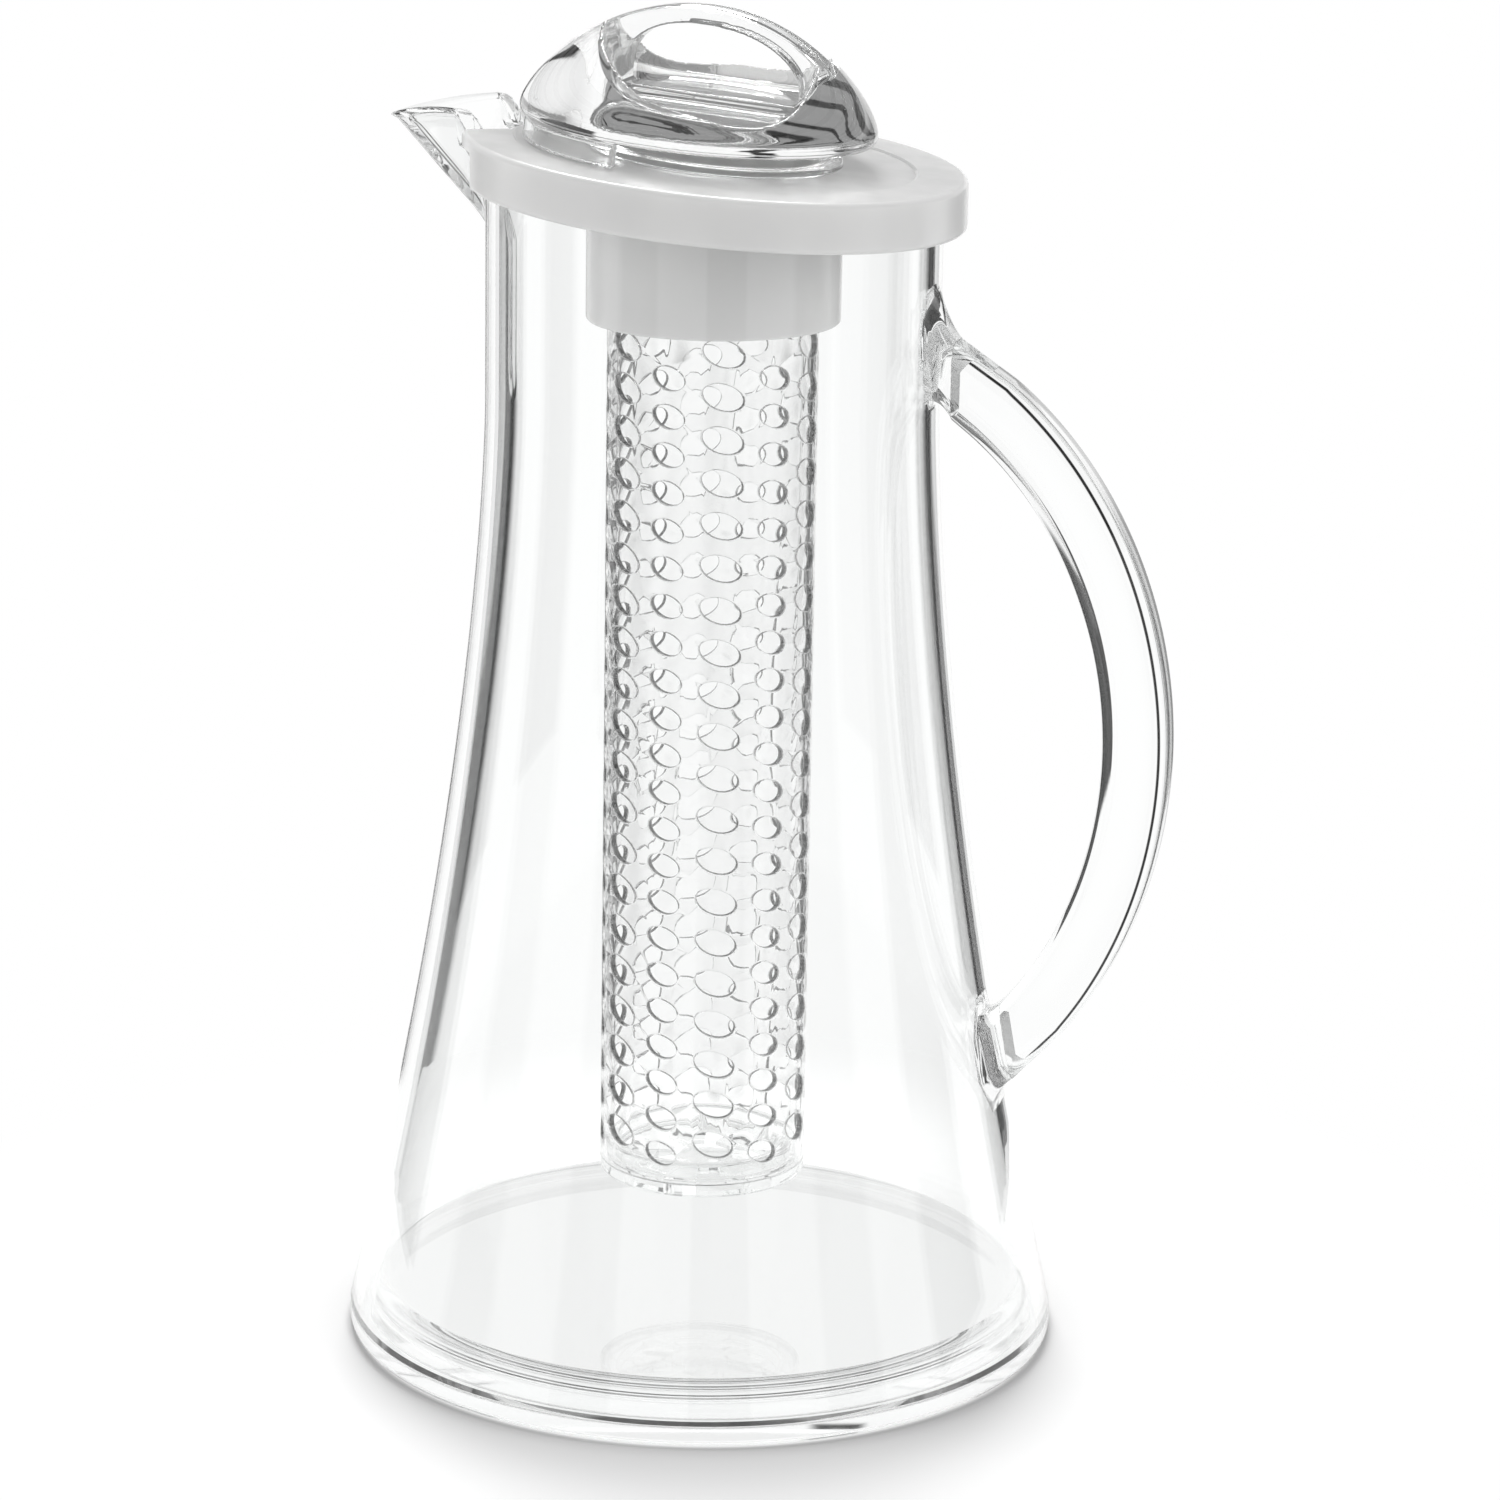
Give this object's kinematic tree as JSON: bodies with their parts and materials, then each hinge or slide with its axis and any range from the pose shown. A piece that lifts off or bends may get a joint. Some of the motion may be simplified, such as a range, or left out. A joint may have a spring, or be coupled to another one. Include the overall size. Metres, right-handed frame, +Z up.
{
  "type": "infusion pitcher",
  "caption": "Clear flared pitcher with a spout, bow handle, slanted white lid ring, domed grip cap and a perforated infuser tube hanging inside.",
  "frame": {"origin": "centre of the flat underside of the base, on the axis of the body and the infuser", "axes": "+Z up along the axis, +X toward the handle, -X toward the spout"},
  "size_m": [0.1905, 0.165, 0.3085],
  "materials": {
    "body_acrylic": "clear polished acrylic",
    "base_acrylic": "clear polished acrylic",
    "handle_acrylic": "clear polished acrylic",
    "lid_white": "translucent white, satin",
    "dome_acrylic": "clear polished acrylic",
    "neck_acrylic": "clear polished acrylic",
    "tube_acrylic": "clear polished acrylic",
    "end_cap_acrylic": "clear polished acrylic"
  },
  "bodies": {
    "pitcher": {"pitcher_body": "body_acrylic", "base_plate": "base_acrylic", "handle": "handle_acrylic"},
    "lid": {"lid_ring": "lid_white"},
    "cap": {"cap_dome": "dome_acrylic", "cap_neck": "neck_acrylic"},
    "infuser": {"infuser_tube": "tube_acrylic", "infuser_end_cap": "end_cap_acrylic"}
  },
  "joints": [
    {"name": "lid_lift", "type": "slide", "parent": "pitcher", "child": "lid", "axis": [0, 0, 1], "range_m": [0, 0.26]},
    {"name": "cap_lift", "type": "slide", "parent": "lid", "child": "cap", "axis": [0, 0, 1], "range_m": [0, 0.255]},
    {"name": "infuser_turn", "type": "hinge", "parent": "cap", "child": "infuser", "pos_m": [0, 0, 0.25], "axis": [0, 0, 1], "range_deg": [-30, 0]}
  ]
}
